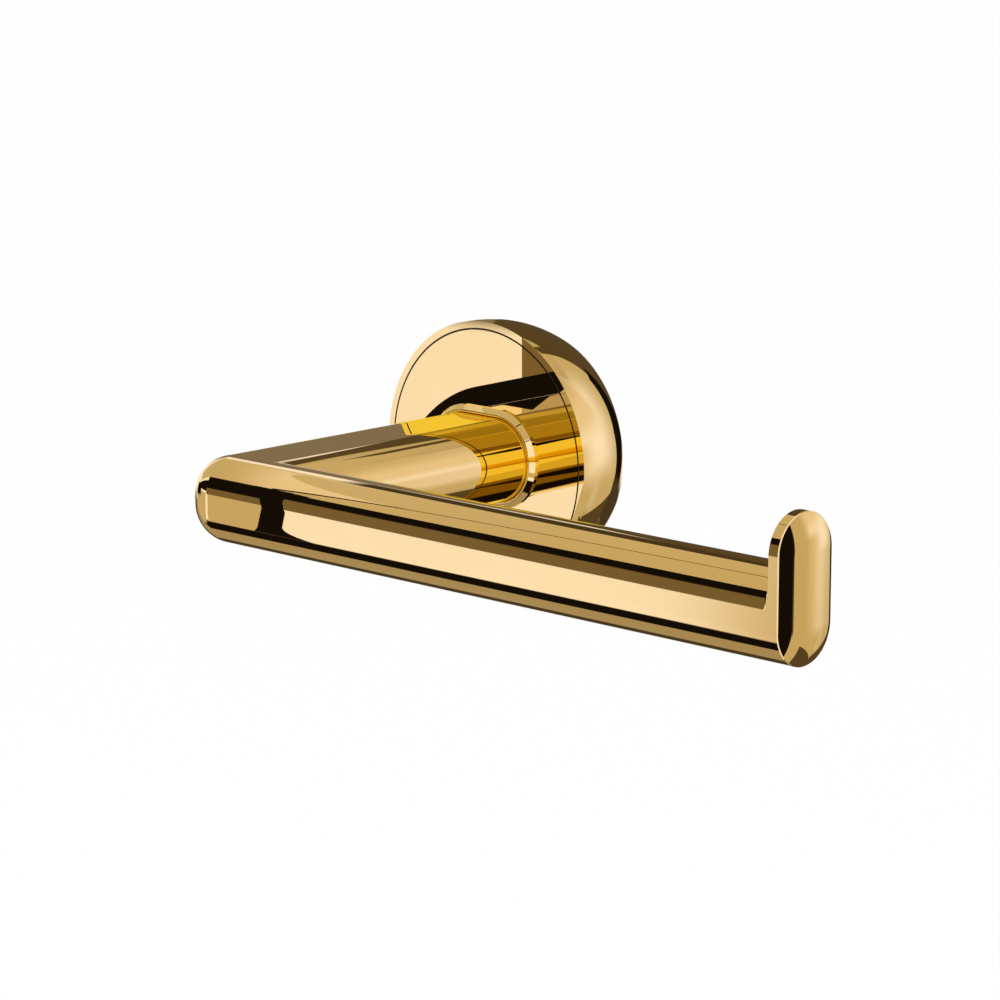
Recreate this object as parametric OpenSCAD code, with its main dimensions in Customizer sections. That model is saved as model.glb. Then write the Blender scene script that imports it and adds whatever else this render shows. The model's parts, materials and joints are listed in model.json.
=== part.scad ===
// Wall-mounted toilet roll holder: a round rosette, a broad post, and an arm with an upturned end stop.
// The wall is the plane Y = 0, with the rosette's centre at the origin. The post runs towards -Y,
// the arm towards +X, and +Z is up. Sizes are in millimetres.

/* [Arm] */
// Height of the arm, and of the post
arm_h = 18; // [15.5:0.5:24]
// Depth of the arm from front to back
arm_d = 14.8; // [12:0.2:15.4]
// From the rosette's centre to the inner face of the end stop
arm_reach = 141; // [100:1:180]
// Wall thickness of the arm and post tubes
tube_wall = 1.5; // [1:0.1:2.2]

/* [Post] */
// Width of the post
post_w = 27.6; // [25:0.2:36]
// From the wall to the front of the arm
projection = 90.8; // [70:0.2:130]

/* [Corner] */
// Radius of the outer corner, seen from above
corner_r = 8.2; // [7.8:0.1:9]
// Length of post and of arm that the corner keeps beyond their crossing
corner_land = 2; // [1:0.5:8]
// Length of the spigots inside the tubes
spigot_len = 12; // [9:1:20]

/* [End stop] */
// Height of the end stop
stop_h = 28; // [24:1:40]
// Thickness of the end stop at its edge
stop_t = 2.2; // [1.5:0.1:5]
// How far its outer face is crowned
stop_crown = 2; // [1:0.1:4]

/* [Rosette] */
// Largest diameter of the rosette
rosette_d = 58; // [56:1:70]
// From the wall to the rosette's face
rosette_depth = 16; // [15:0.5:20]
// From the face back to the rosette's widest point
rosette_lead = 2; // [1:0.5:4]
// Wall thickness of the shell
shell_wall = 2; // [1.2:0.1:2.2]
// Width of the rim around the inset face
rim_w = 1.8; // [1.2:0.1:3]
// Thickness of the inset face
face_t = 2.2; // [1.5:0.1:3]
// Width of the ledge that the face sits on
lip_w = 5; // [4:0.5:6]
// Thickness of that ledge
lip_t = 1.6; // [1:0.1:2]

/* [Base ring] */
// Width of the bead around the post
bead_w = 1.6; // [1:0.1:3]
// How far the bead stands out of the face
bead_h = 1.5; // [1:0.1:3]
// Thickness of the washer under the post
foot_t = 0.5; // [0.3:0.1:0.9]

/* [Wall plate] */
// Height of its rim above the wall
plate_h = 8; // [7:0.5:9]
// Thickness of its floor
plate_floor = 3; // [2:0.5:4]
// Thickness of its rim
plate_rim = 2.5; // [2:0.1:3]
// Distance between the two screw holes
screw_spacing = 22; // [18:1:24]
// Diameter of the screw holes
screw_hole_d = 5.2; // [4:0.1:6]
// Depth of the V groove around the rim
groove_depth = 0.8; // [0.5:0.1:1]
// Height of the groove above the wall
groove_h = 5; // [4:0.5:6]

/* [Hub] */
// Wall thickness of the hub's collar
hub_wall = 2.8; // [2:0.1:3]
// Thickness of the hub's flange behind the ledge
flange_t = 2.4; // [1.5:0.1:2.6]
// Width of that flange on the ledge
flange_w = 2.5; // [1.5:0.1:3]

/* [Seal] */
// Radial width of the wall seal
seal_w = 1.1; // [0.8:0.1:1.2]
// Thickness of the wall seal
seal_t = 1.2; // [0.8:0.1:1.6]
// Metal left outside the seal at the shell's rear edge
seal_edge = 1; // [0.8:0.1:1.3]

/* [Bolts] */
// Diameter of the post bolts
bolt_d = 5; // [4:0.5:5.5]
// Length of the post bolts under the head
bolt_len = 20; // [16:1:24]
// Distance between the two bolts
bolt_spacing = 10; // [9.6:0.2:12]
// Diameter of the bolt heads
bolt_head_d = 8.4; // [7.5:0.1:9]
// Height of the bolt heads
bolt_head_h = 3.5; // [3:0.1:4]
// Diameter of the bolt washers
washer_d = 9; // [8.5:0.1:9.4]
// Thickness of the bolt washers
washer_t = 1; // [0.5:0.1:1.2]
// Length of the threaded block in the post
block_len = 18; // [14:1:24]

/* [Grub screw and pins] */
// Diameter of the grub screw
grub_d = 5; // [4:0.5:6]
// Length of the grub screw
grub_len = 8; // [6.5:0.5:8.5]
// Diameter of the spring pins
pin_d = 2.5; // [2:0.5:3]
// Length of the spring pins
pin_len = 7; // [5:0.5:9]
// How far the pins sit below the surface
pin_recess = 0.3; // [0.2:0.1:0.6]

/* [Clearances] */
// Radial space between the hub's collar and the wall seal
collar_gap = 1.3; // [0.8:0.1:1.8]
// Radial clearance between wall plate and hub
slide_gap = 0.2; // [0.1:0.05:0.3]
// Radial clearance of a bolt or screw in a plain hole
hole_gap = 0.3; // [0.2:0.05:0.5]
// Clearance around the inset face, which shows as a seam
seam_gap = 0.12; // [0.05:0.01:0.2]
// Clearance of spigots, blocks, threads and pins in their seats
fit_gap = 0.03; // [0.02:0.01:0.1]

/* [Hidden] */
$fn = 96;
GOLD = "#E8C078";
STEEL = "#A9ACB0";
BRASS = "#C9A55C";
RUBBER = "#3A3B3D";
NYLON = "#E6E4DC";
CUT = 1;                    // how far a cut runs past the surface it opens

// sections
arm_r = arm_d / 2;
arm_flat = arm_h / 2 - arm_r;
post_r = arm_h / 2;
post_half = post_w / 2 - post_r;

// places, as distances from the wall unless named x or z
arm_axis = projection - arm_r;
corner_axis = projection - corner_r;
corner_x = -post_w / 2 + corner_r;
post_seam = arm_axis - arm_r - corner_land;
arm_seam_x = post_w / 2 + corner_land;
foot_front = rosette_depth + foot_t;
seat_h = rosette_depth - face_t;
flange_front = seat_h - lip_t;
hub_back = flange_front - flange_t;
widest_h = rosette_depth - rosette_lead;
rear_r = sqrt(pow(rosette_d / 2, 2) - pow(widest_h, 2));

// radii in the rosette
rim_r = rosette_d / 2 - rim_w;
lip_r = rim_r - lip_w;
seal_r = rear_r - seal_edge;
collar_r = seal_r - seal_w - collar_gap - hub_wall;
plate_r = collar_r - slide_gap;

// the end stop
stop_top = stop_h - arm_h / 2;
crown_r = (pow(arm_r, 2) + pow(stop_crown, 2)) / (2 * stop_crown);

// A slot-shaped outline, r at its round ends, half long each way from its centre to theirs
module slot_outline(r, half) {
    square([2 * half, 2 * r], center = true);
    for (side = [-1, 1]) translate([side * half, 0]) circle(r);
}

// The arm's section and the post's section, made smaller by inset
module arm_section(inset = 0) {
    rotate(90) slot_outline(arm_r - inset, arm_flat);
}

module post_section(inset = 0) {
    slot_outline(post_r - inset, post_half);
}

// Extrude an outline of X and Z away from the wall, between two distances from it
module outwards(from, to) {
    translate([0, -from, 0]) rotate([90, 0, 0]) linear_extrude(to - from) children();
}

// Extrude an outline of Y and Z along the arm, on the arm's axis
module along_arm(from, to) {
    translate([from, -arm_axis, 0]) rotate([90, 0, 90]) linear_extrude(to - from) children();
}

// A round bar square to the wall
module bar_out(r, from, to, x = 0, z = 0) {
    outwards(from, to) translate([x, z]) circle(r);
}

// Turned about the rosette's axis: first coordinate is the radius, second the distance from the wall
module turned() {
    rotate([90, 0, 0]) rotate_extrude() children();
}

// A hole or bar straight down through the rosette's wall, at the groove's height, from one radius to another
module bar_down(r, from, to) {
    translate([0, -groove_h, -to]) cylinder(r = r, h = to - from);
}

// Where the two post bolts go
module at_bolts() {
    for (side = [-1, 1]) translate([side * bolt_spacing / 2, 0, 0]) children();
}

// Where the three spring pins go: in the post, at the corner's end of the arm, and at its free end
module at_pins() {
    translate([0, -(post_seam - spigot_len / 2), 0]) children();
    for (x = [arm_seam_x + spigot_len / 2, arm_reach - spigot_len / 2]) translate([x, -arm_axis, 0]) children();
}

module pin_holes() {
    at_pins() translate([0, 0, -arm_h / 2 - CUT]) cylinder(r = pin_d / 2 + fit_gap, h = CUT + pin_recess + pin_len);
}

module wall_plate() {
    groove_r = plate_r - groove_depth;
    color(STEEL) difference() {
        turned() difference() {
            union() {
                square([plate_r, plate_floor]);
                translate([plate_r - plate_rim, 0]) square([plate_rim, plate_h]);
            }
            translate([groove_r, groove_h]) rotate(45) square(2 * groove_depth);
        }
        for (side = [-1, 1]) bar_out(screw_hole_d / 2, -CUT, plate_floor + CUT, z = side * screw_spacing / 2);
    }
}

module rosette_hub() {
    color(BRASS) difference() {
        turned() {
            translate([0, hub_back]) square([lip_r + flange_w, flange_t]);
            translate([0, hub_back]) square([lip_r - slide_gap, seat_h - hub_back]);
            translate([collar_r, seal_t]) square([hub_wall, hub_back - seal_t]);
        }
        at_bolts() bar_out(bolt_d / 2 + hole_gap, hub_back - CUT, seat_h + CUT);
        bar_down(grub_d / 2 + fit_gap, collar_r - CUT, collar_r + hub_wall + CUT);
    }
}

module grub_screw() {
    tip = plate_r - groove_depth;
    color(STEEL) difference() {
        union() {
            bar_down(grub_d / 2, tip + grub_d / 2, tip + grub_len);
            translate([0, -groove_h, -tip - grub_d / 2]) cylinder(r1 = grub_d / 2, r2 = 0, h = grub_d / 2);
        }
        translate([0, -groove_h, -tip - grub_len - CUT]) cylinder(d = grub_d / 2, h = grub_d / 2 + CUT, $fn = 6);
    }
}

module wall_seal() {
    color(RUBBER) turned() translate([seal_r - seal_w - fit_gap, 0]) square([seal_w, seal_t - fit_gap]);
}

// Half of the rosette's round section, made smaller by inset, between two distances from the wall
module ball_section(inset, from, to) {
    intersection() {
        translate([0, widest_h]) circle(rosette_d / 2 - inset);
        translate([0, from]) square([rosette_d, to - from]);
    }
}

module rosette_shell() {
    color(GOLD) difference() {
        turned() difference() {
            ball_section(0, 0, rosette_depth);
            ball_section(shell_wall, -CUT, flange_front);
            translate([0, seat_h]) square([rim_r, face_t + CUT]);
            translate([0, flange_front - CUT]) square([lip_r, rosette_depth]);
            translate([0, -CUT]) square([seal_r, seal_t + CUT]);
        }
        bar_down(grub_d / 2 + hole_gap, collar_r + hub_wall, rosette_d / 2);
    }
}

module rosette_face() {
    color(GOLD) difference() {
        bar_out(rim_r - seam_gap, seat_h, rosette_depth);
        at_bolts() bar_out(bolt_d / 2 + hole_gap, seat_h - CUT, rosette_depth + CUT);
    }
}

// The bead's own section: first coordinate from the post's centre line, second from the face
module bead_section() {
    translate([post_r + fit_gap, 0]) intersection() {
        square([bead_w, bead_h]);
        union() {
            square([bead_w, bead_h - bead_w / 2]);
            translate([bead_w / 2, bead_h - bead_w / 2]) circle(bead_w / 2);
        }
    }
}

module base_ring() {
    color(GOLD) translate([0, -rosette_depth, 0]) rotate([90, 0, 0]) {
        for (side = [0, 180]) rotate(side) {
            translate([post_half, 0, 0]) rotate(-90) rotate_extrude(angle = 180) bead_section();
            translate([-post_half, 0, 0]) rotate([90, 0, 90]) linear_extrude(2 * post_half) bead_section();
        }
    }
}

module foot_washer() {
    color(NYLON) difference() {
        outwards(rosette_depth, foot_front) post_section();
        at_bolts() bar_out(bolt_d / 2 + hole_gap, rosette_depth - CUT, foot_front + CUT);
    }
}

module post_tube() {
    color(GOLD) difference() {
        outwards(foot_front, post_seam) difference() {
            post_section();
            post_section(tube_wall);
        }
        pin_holes();
    }
}

module post_end_block() {
    color(STEEL) difference() {
        outwards(foot_front, foot_front + block_len) post_section(tube_wall + fit_gap);
        at_bolts() bar_out(bolt_d / 2 + fit_gap, foot_front - CUT, foot_front + block_len + CUT);
    }
}

module post_bolts() {
    under_head = hub_back - washer_t;
    color(STEEL) at_bolts() difference() {
        union() {
            bar_out(bolt_d / 2, under_head, under_head + bolt_len);
            bar_out(bolt_head_d / 2, under_head - bolt_head_h, under_head);
        }
        outwards(under_head - bolt_head_h - CUT, under_head - bolt_head_h / 3) circle(bolt_d * 0.45, $fn = 6);
    }
}

module bolt_washers() {
    color(STEEL) at_bolts() difference() {
        bar_out(washer_d / 2, hub_back - washer_t, hub_back);
        bar_out(bolt_d / 2 + hole_gap, hub_back - washer_t - CUT, hub_back + CUT);
    }
}

// The arm's front turned a quarter round the corner's upright axis, then trimmed to the post's section
module outer_corner() {
    intersection() {
        translate([corner_x, -corner_axis, 0]) rotate(180) rotate_extrude(angle = 90) intersection() {
            translate([corner_r - arm_r, 0]) arm_section();
            translate([0, -arm_h]) square(2 * arm_h);
        }
        outwards(corner_axis - CUT, projection) post_section();
    }
}

module corner_block() {
    color(GOLD) difference() {
        union() {
            outwards(post_seam, corner_axis) post_section();
            along_arm(corner_x, arm_seam_x) arm_section();
            outer_corner();
            outwards(post_seam - spigot_len, post_seam + CUT) post_section(tube_wall + fit_gap);
            along_arm(arm_seam_x - CUT, arm_seam_x + spigot_len) arm_section(tube_wall + fit_gap);
        }
        pin_holes();
    }
}

module arm_tube() {
    color(GOLD) difference() {
        along_arm(arm_seam_x, arm_reach) difference() {
            arm_section();
            arm_section(tube_wall);
        }
        pin_holes();
    }
}

// The end stop's outline: as deep as the arm, flush with it below and rising above it
module stop_outline() {
    translate([0, (stop_top - arm_h / 2) / 2]) rotate(90) slot_outline(arm_r, stop_h / 2 - arm_r);
}

module end_stop() {
    crown_x = arm_reach + stop_t + stop_crown - crown_r;
    low_z = -arm_h / 2 + arm_r;
    high_z = stop_top - arm_r;
    color(GOLD) difference() {
        union() {
            along_arm(arm_reach, arm_reach + stop_t) stop_outline();
            intersection() {
                along_arm(arm_reach, arm_reach + stop_t + stop_crown) stop_outline();
                translate([crown_x, -arm_axis, 0]) {
                    translate([0, 0, low_z]) cylinder(r = crown_r, h = high_z - low_z);
                    for (z = [low_z, high_z]) translate([0, 0, z]) sphere(crown_r);
                }
            }
            along_arm(arm_reach - spigot_len, arm_reach + CUT) arm_section(tube_wall + fit_gap);
        }
        pin_holes();
    }
}

module spring_pins() {
    color(STEEL) at_pins() translate([0, 0, -arm_h / 2 + pin_recess]) cylinder(d = pin_d, h = pin_len);
}

wall_plate();
rosette_hub();
grub_screw();
wall_seal();
rosette_shell();
rosette_face();
base_ring();
foot_washer();
post_tube();
post_end_block();
post_bolts();
bolt_washers();
corner_block();
arm_tube();
end_stop();
spring_pins();
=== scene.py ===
import json
import math

import bpy
import numpy as np
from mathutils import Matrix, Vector


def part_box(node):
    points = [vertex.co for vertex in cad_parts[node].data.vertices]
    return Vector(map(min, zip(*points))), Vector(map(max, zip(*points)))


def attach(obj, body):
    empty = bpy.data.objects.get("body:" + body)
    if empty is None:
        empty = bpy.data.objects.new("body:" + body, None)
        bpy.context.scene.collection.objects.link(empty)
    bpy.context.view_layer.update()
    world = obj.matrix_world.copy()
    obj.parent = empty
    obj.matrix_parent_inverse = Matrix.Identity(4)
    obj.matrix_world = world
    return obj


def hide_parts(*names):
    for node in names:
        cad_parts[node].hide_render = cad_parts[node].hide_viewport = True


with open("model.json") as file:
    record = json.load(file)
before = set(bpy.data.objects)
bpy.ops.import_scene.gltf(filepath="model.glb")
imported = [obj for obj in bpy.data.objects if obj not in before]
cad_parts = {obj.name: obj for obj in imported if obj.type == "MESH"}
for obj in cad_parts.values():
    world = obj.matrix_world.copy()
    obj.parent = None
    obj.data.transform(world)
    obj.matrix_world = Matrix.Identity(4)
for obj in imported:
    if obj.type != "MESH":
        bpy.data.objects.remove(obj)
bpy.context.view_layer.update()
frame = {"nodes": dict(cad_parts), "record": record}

MM = 0.001

# ---- sizes: the tubes' are read off the frame, the rest are those of the solids


def corners(node):
    """The lowest and highest corner of a CAD node, rounded to a micrometre."""
    return [np.round(np.array(corner), 6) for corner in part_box(node)]


arm_low, arm_high = corners("arm_tube")
block_low, block_high = corners("corner_block")
post_low, post_high = corners("post_tube")
stop_low, stop_high = corners("end_stop")
ring_high = corners("base_ring")[1]

HALF_H = -arm_low[2]                      # half the height of arm and post
ARM_R = (arm_high[1] - arm_low[1]) / 2    # the arm's front and back curve
ARM_FLAT = HALF_H - ARM_R                 # half the upright flat between the arm's curves
ARM_Y = (arm_high[1] + arm_low[1]) / 2    # the arm's axis
POST_R = HALF_H                           # the round sides of the post
POST_FLAT = -block_low[0] - POST_R        # half the width of the post's flat top
TUBE_WALL = 1.5 * MM
FIT_GAP = 0.03 * MM                       # around a spigot
SPIGOT_MID = 6 * MM                       # from a seam to the middle of its pin
FLARE = 1 * MM                            # the fillet between the arm and the stop
STOP_T = 2.2 * MM                         # the stop's straight edge, before its crown
PIN_HOLE = 1.28 * MM                      # radius of a spring pin's hole
PIN_WINDOW = 2.2 * MM                     # half the window that a pin hole is cut in

BALL_R = 29 * MM                          # the rosette is a slice of this ball
BALL_MID = 14 * MM                        # how far the ball's middle is from the wall
FACE_Y = 16 * MM                          # the front of the rosette, from the wall
SHELL_WALL = 2 * MM
RIM_R = 27.2 * MM                         # the seat of the inset face
SEAT_Y = 13.8 * MM
LIP_R, LIP_BACK = 22.2 * MM, 12.2 * MM    # the lip that the hub's flange holds
SEAL_R, SEAL_T = 24.4 * MM, 1.2 * MM      # the groove of the wall seal
KEY_HOLE, KEY_Y = 2.8 * MM, 5 * MM        # the hexagon key's way in, below
KEY_WINDOW = 3.6 * MM                     # half the window that it is cut in
BEAD_W, BEAD_H = 1.6 * MM, 1.5 * MM       # the base ring's own section
EDGE = 0.13 * MM                          # the broken edge round the stop's crown
BROW_R = 0.4 * MM                         # the round between the bead's inner side and its slope
SEAM_W, SEAM_LOW = 0.28 * MM, 0.08 * MM   # the joint round the inset face: its width, and how far the dark ring in it, painted shade of the narrow gap, lies below the rim
                                          # lies below the rim

ROUND_STEPS = 48                          # cells in a quarter turn of a section
UPRIGHT_STEPS = 8                         # cells up the arm's narrow flat
TOP_STEPS = 12                            # cells across the post's flat top
ALONG_STEPS = 16                          # cells along a tube between two features
CROWN_STEPS = 40                          # rings from the stop's edge to its ridge
FLARE_STEPS = 10                          # cells along the flare
TURN_STEPS = 256                          # cells round the rosette
BALL_STEPS, HOLLOW_STEPS = 56, 40         # cells from back to front of the shell's outside and inside
RINGS = 5                                 # rings between a hole's rim and its window
PIN_ROWS = 8                              # cells along a pin hole's window
PIN_COLS, POST_PIN_COLS = 10, 3           # cells from its middle to its side, on the arm and on the post
KEY_ROWS = 9                              # cells from the middle to the side of the key hole's window
WELD = 2e-8                               # points nearer than this are one vertex

# ---- surfaces


def sheet(x, y, z, nx, ny, nz):
    """One surface on a grid. Points and outward normals are arrays that are broadcast together:
    rows run along the piece, columns run round its section."""
    points, normals = (
        np.stack(np.broadcast_arrays(*[np.asarray(v, float) for v in triple]), axis=-1)
        for triple in ((x, y, z), (nx, ny, nz))
    )
    shape = np.broadcast_shapes(points.shape, normals.shape)
    normals = np.broadcast_to(normals, shape).copy()
    normals /= np.linalg.norm(normals, axis=-1, keepdims=True)
    return np.broadcast_to(points, shape).copy(), normals, np.ones((shape[0] - 1, shape[1] - 1), bool)


def ruled(first, second, normal):
    """The flat between two edges: straight lines from each point of one to the same point of the other."""
    points = np.stack([first, second])
    normals = np.broadcast_to(np.asarray(normal, float), points.shape).copy()
    return points, normals, np.ones((1, len(first) - 1), bool)


def linked(name, data):
    """A new object, linked into the scene."""
    thing = bpy.data.objects.new(name, data)
    bpy.context.scene.collection.objects.link(thing)
    return thing


def weld(name, sheets, nodes):
    """Makes one closed mesh of several sheets. Corners that fall on one place become one vertex, a cell
    that has shrunk to a line or a point goes, each cell is turned to the side its normals point to,
    and every corner keeps the exact normal of its own surface, so that a mirror shows no facets."""
    quads, normals = [], []
    for points, outward, cells in sheets:
        for store, values in ((quads, points), (normals, outward)):
            around = [values[:-1, :-1], values[1:, :-1], values[1:, 1:], values[:-1, 1:]]
            store.append(np.stack(around, axis=2)[cells])
    quads, normals = np.concatenate(quads), np.concatenate(normals)
    facing = np.cross(quads[:, 2] - quads[:, 0], quads[:, 3] - quads[:, 1])
    wrong = np.einsum("ij,ikj->i", facing, normals) < 0
    quads[wrong], normals[wrong] = quads[wrong][:, ::-1], normals[wrong][:, ::-1]
    places = np.round(quads.reshape(-1, 3) / WELD).astype(np.int64)
    _, first, ids = np.unique(places, axis=0, return_index=True, return_inverse=True)
    ids = ids.reshape(-1, 4)
    kept = ids != np.roll(ids, 1, axis=1)
    whole = kept.sum(axis=1) > 2
    ids, kept, normals = ids[whole], kept[whole], normals[whole]
    totals = kept.sum(axis=1)
    mesh = bpy.data.meshes.new(name)
    mesh.vertices.add(len(first))
    mesh.vertices.foreach_set("co", quads.reshape(-1, 3)[first].ravel())
    mesh.loops.add(int(totals.sum()))
    mesh.loops.foreach_set("vertex_index", ids[kept].astype(np.int32))
    mesh.polygons.add(len(totals))
    mesh.polygons.foreach_set("loop_start", np.concatenate([[0], np.cumsum(totals)[:-1]]).astype(np.int32))
    mesh.update(calc_edges=True)
    mesh.polygons.foreach_set("use_smooth", np.ones(len(totals), bool))
    mesh.normals_split_custom_set(normals[kept])
    mesh.validate(clean_customdata=False)
    piece = linked(name, mesh)
    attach(piece, "root")
    if nodes:
        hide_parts(*nodes)
    return piece


def window_edge(points, rows, cols):
    """The grid points round a window of a sheet in plan, from its first corner back to itself."""
    (row, last_row), (col, last_col) = rows, cols
    return np.concatenate([
        points[row:last_row, col], points[last_row, col:last_col],
        points[last_row:row:-1, last_col], points[row, last_col:col:-1], points[row:row + 1, col],
    ])[:, :2]


def opened(surface, rows, cols, centre, rim, lift):
    """Cuts an upright round hole in a sheet. The cells between two rows and two columns go, and rings fill
    that window: straight lines in plan from the hole's rim to the window's edge, lifted on to the
    surface by lift(x, y), which gives heights and normals. Returns both sheets and the rim's points."""
    points, normals, cells = surface
    share = (np.arange(RINGS + 1) / RINGS)[:, None, None]
    plan = (centre + rim) * (1 - share) + window_edge(points, rows, cols) * share
    height, (nx, ny, nz) = lift(plan[..., 0], plan[..., 1])
    cells = cells.copy()
    cells[slice(*rows), slice(*cols)] = False
    window = sheet(plan[..., 0], plan[..., 1], height, nx, ny, nz)
    return (points, normals, cells), window, window[0][0]


def hole(outer, inner, rows, cols, centre, radius, lifts):
    """A round hole up through the underside of a hollow piece. Its rim has one point in the direction of
    each grid point on the window's edge, so that the rings and both ends of the hole match. Gives the
    two holed surfaces, and the sheets of both windows and of the hole's wall."""
    edge = window_edge(outer[0], rows, cols[0]) - centre
    rim = radius * edge / np.linalg.norm(edge, axis=1, keepdims=True)
    outer, outer_window, low_rim = opened(outer, rows, cols[0], centre, rim, lifts[0])
    inner, inner_window, high_rim = opened(inner, rows, cols[1], centre, rim, lifts[1])
    wall = ruled(low_rim, high_rim, (0, 0, 0))
    wall[1][..., :2] = -rim / radius
    return outer, inner, [outer_window, inner_window, wall]


# ---- sections

quarter = np.linspace(math.pi / 2, 0, ROUND_STEPS + 1)
upright = np.linspace(1, -1, UPRIGHT_STEPS + 1)[1:-1]
TURN = np.concatenate([quarter, 0 * upright, -quarter[::-1]])       # crest, front, underside
RISE = np.concatenate([quarter * 0 + 1, upright, quarter * 0 - 1])   # which end of the flat it turns about
LEVEL = ARM_R * np.sin(TURN) + ARM_FLAT * RISE                       # heights on arm, corner and post alike
ARM_OUT = ARM_R * np.cos(TURN)
POST_TURN = np.arcsin(np.clip(LEVEL / POST_R, -1, 1))
POST_OUT = POST_R * np.cos(POST_TURN)
TOP_X = np.linspace(-POST_FLAT, POST_FLAT, TOP_STEPS + 1)
SIDES = (-1, 1)


def slot_loop(radius, flat=ARM_FLAT, middle=(ARM_Y, 0)):
    """A slot-shaped section of y and z, the arm's if not told otherwise, from its crest down the front and
    up the back again: two half circles about the ends of an upright line. Gives y, z and the normals'
    y and z."""
    front = np.stack([middle[0] - radius * np.cos(TURN), middle[1] + radius * np.sin(TURN) + flat * RISE,
                      -np.cos(TURN), np.sin(TURN)])
    back = front[:, ::-1][:, 1:].copy()
    back[0] = 2 * middle[0] - back[0]
    back[2] = -back[2]
    return np.concatenate([front, back], axis=1)


def along(xs, loop, sign=1):
    """A section of y and z carried along x. With sign -1 it is the wall of a hollow."""
    y, z, ny, nz = loop
    return sheet(np.asarray(xs)[:, None], y, z, 0, sign * ny, sign * nz)


def across(x, outer, inner, facing):
    """The flat ring between two sections at one x."""
    edges = [np.stack([np.full(len(loop[0]), x), loop[0], loop[1]], axis=1) for loop in (outer, inner)]
    return ruled(*edges, (facing, 0, 0))


def disc(x, loop, facing):
    """The flat end of a section of y and z: level lines from its front to its back."""
    half = len(TURN)
    y, z = loop[0], loop[1]
    front = np.stack([np.full(half, x), y[:half], z[:half]], axis=1)
    back = np.stack([np.full(half, x), y[half - 1:][::-1], z[half - 1:][::-1]], axis=1)
    return ruled(front, back, (facing, 0, 0))


def post_sides(ys, radius, sign=1):
    """The round sides and flat top and underside of the post, carried along y."""
    ys = np.asarray(ys)[:, None]
    out, z = radius * np.cos(POST_TURN), radius * np.sin(POST_TURN)
    sheets = [sheet(side * (POST_FLAT + out), ys, z, sign * side * out, 0, sign * z) for side in SIDES]
    return sheets + [sheet(TOP_X, ys, side * radius, 0, 0, sign * side) for side in SIDES]


def post_loop(y, radius):
    """The post's outline at one y: down the right, back along the underside, up the left, over the top."""
    out, z = radius * np.cos(POST_TURN), radius * np.sin(POST_TURN)
    x = np.concatenate([POST_FLAT + out, TOP_X[::-1][1:], -POST_FLAT - out[::-1][1:], TOP_X[1:]])
    high = np.concatenate([z, np.full(TOP_STEPS, -radius), z[::-1][1:], np.full(TOP_STEPS, radius)])
    return np.stack([x, np.full(len(x), y), high], axis=1)


def post_disc(y, radius, facing):
    """The flat end of a post section: level lines from its left side to its right."""
    out, z = radius * np.cos(POST_TURN), radius * np.sin(POST_TURN)
    x = (POST_FLAT + out)[:, None] * np.linspace(-1, 1, TOP_STEPS + 1)
    return sheet(x, y, z[:, None], 0, facing, 0)


# ---- pieces


def arm_surface(xs):
    """The arm's slot section carried along x. Over the last millimetre it flares out by a quarter circle,
    f - sqrt(f^2 - d^2), to meet the stop, and is cut off where that passes the stop's front and back."""
    reach = np.clip((np.asarray(xs) - (arm_high[0] - FLARE)) / FLARE, 0, 1)[:, None]
    grow = FLARE * (1 - np.sqrt(1 - reach ** 2))
    y, z, ny, nz = slot_loop(ARM_R)
    upper = nz > 0
    free = np.where(upper, (ARM_R + grow) * ny, ARM_R * ny)
    depth = np.clip(free, -ARM_R, ARM_R)
    height = z + np.where(upper, grow * nz, 0)
    cut = np.abs(free) > ARM_R
    lean = np.where(upper & ~cut, reach, 0)
    slope = np.sqrt(1 - lean ** 2)
    return sheet(np.asarray(xs)[:, None], ARM_Y + depth, height, -lean,
                 np.where(cut, np.sign(free), slope * ny), np.where(cut, 0, slope * nz))


def make_arm():
    """A tube of slot section with its wall, a pin hole near each end and the flare at the stop."""
    pins = [arm_low[0] + SPIGOT_MID, arm_high[0] - SPIGOT_MID]
    half = PIN_WINDOW
    first = np.linspace(arm_low[0], pins[0] - half, 3)
    at_pin = [np.linspace(pin - half, pin + half, PIN_ROWS + 1) for pin in pins]
    middle = np.linspace(pins[0] + half, pins[1] - half, ALONG_STEPS + 1)[1:-1]
    flare = arm_high[0] - FLARE + FLARE * np.sin(np.linspace(0, math.pi / 2, FLARE_STEPS + 1))
    last = (pins[1] + half + flare[0]) / 2
    xs = np.concatenate([first[:-1], at_pin[0], middle, at_pin[1], [last], flare])
    outer = arm_surface(xs)
    bore = slot_loop(ARM_R - TUBE_WALL)
    inner = along(xs, bore, -1)
    bottom = len(TURN) - 1
    cols = (bottom - PIN_COLS, bottom + PIN_COLS)

    def under(radius, sign):
        """Heights and normals on the underside of a slot section of that radius."""
        def lift(x, y):
            depth = (y - ARM_Y) / radius
            down = np.sqrt(1 - depth ** 2)
            return -ARM_FLAT - radius * down, (0 * x, sign * depth, -sign * down)
        return lift

    extra = []
    for pin in pins:
        row = int(np.argmin(np.abs(xs - (pin - half))))
        outer, inner, more = hole(outer, inner, (row, row + PIN_ROWS), (cols, cols),
                                  np.array([pin, ARM_Y]), PIN_HOLE,
                                  (under(ARM_R, 1), under(ARM_R - TUBE_WALL, -1)))
        extra += more
    ends = [across(xs[0], slot_loop(ARM_R), bore, -1),
            across(xs[-1], outer[0][-1].T[1:], bore, 1)]
    return weld("arm", [outer, inner, *ends, *extra], ["arm_tube"])


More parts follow.
